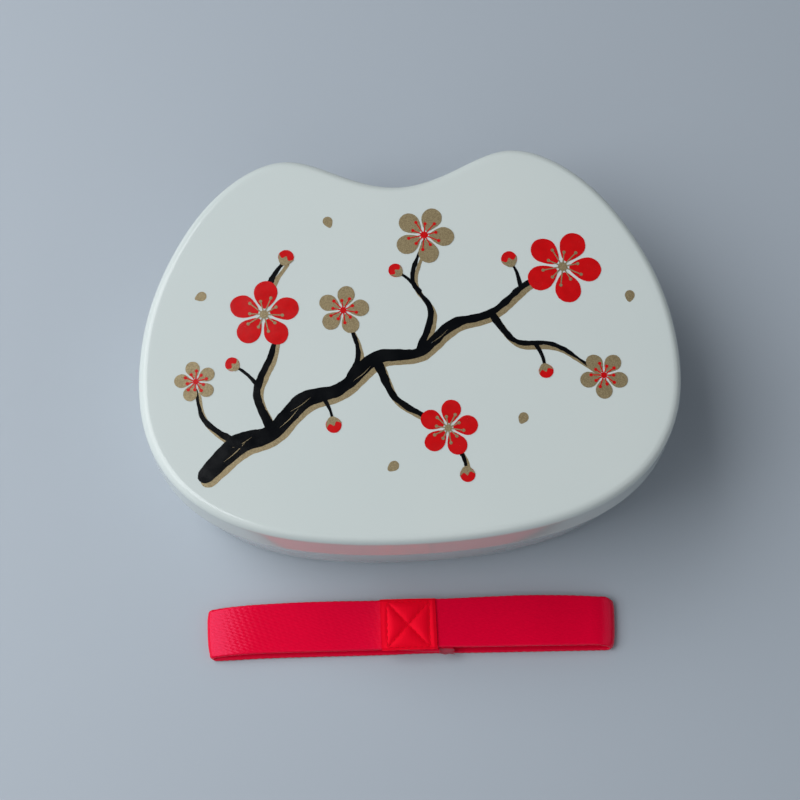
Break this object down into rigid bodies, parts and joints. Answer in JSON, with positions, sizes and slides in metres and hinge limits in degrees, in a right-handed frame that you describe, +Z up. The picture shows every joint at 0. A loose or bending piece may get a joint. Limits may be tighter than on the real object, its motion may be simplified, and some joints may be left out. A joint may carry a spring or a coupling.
{
  "type": "bento box",
  "caption": "Cat-head-shaped lunch box with a lift-off lid, a sealed inner lid and a loose divider, and an elastic belt lying beside it.",
  "frame": {"origin": "middle of the container's flat underside, below the middle of the lid's width and depth", "axes": "+X across the head towards its right as seen from above with the ears up, +Y towards the ears, +Z up"},
  "size_m": [0.168, 0.1559, 0.053],
  "materials": {
    "lacquer": "white gloss lacquer over moulded plastic",
    "milky_plastic": "milky moulded plastic",
    "silicone": "soft clear silicone",
    "webbing": "red twill elastic webbing",
    "satin": "red satin ribbon",
    "thread": "red sewing thread",
    "red_ink": "red printed ink",
    "black_ink": "black printed ink",
    "gold_ink": "muted gold printed ink with fine flakes"
  },
  "bodies": {
    "container": {"container": "lacquer"},
    "divider": {"divider": "milky_plastic"},
    "inner_lid": {"inner_lid": "milky_plastic", "inner_lid_gasket": "silicone"},
    "outer_lid": {"outer_lid": "lacquer"},
    "belt": {"belt_band": "webbing", "belt_patch": "satin", "belt_stitching": "thread"}
  },
  "joints": [
    {"name": "divider_lift", "type": "slide", "parent": "container", "child": "divider", "axis": [0, 0, 1], "range_m": [0, 0.07]},
    {"name": "inner_lid_lift", "type": "slide", "parent": "divider", "child": "inner_lid", "axis": [0, 0, 1], "range_m": [0, 0.06]},
    {"name": "outer_lid_lift", "type": "slide", "parent": "inner_lid", "child": "outer_lid", "axis": [0, 0, 1], "range_m": [0, 0.06]},
    {"name": "belt_lift", "type": "slide", "parent": "container", "child": "belt", "axis": [0, 0, 1], "range_m": [0, 0.06]}
  ]
}
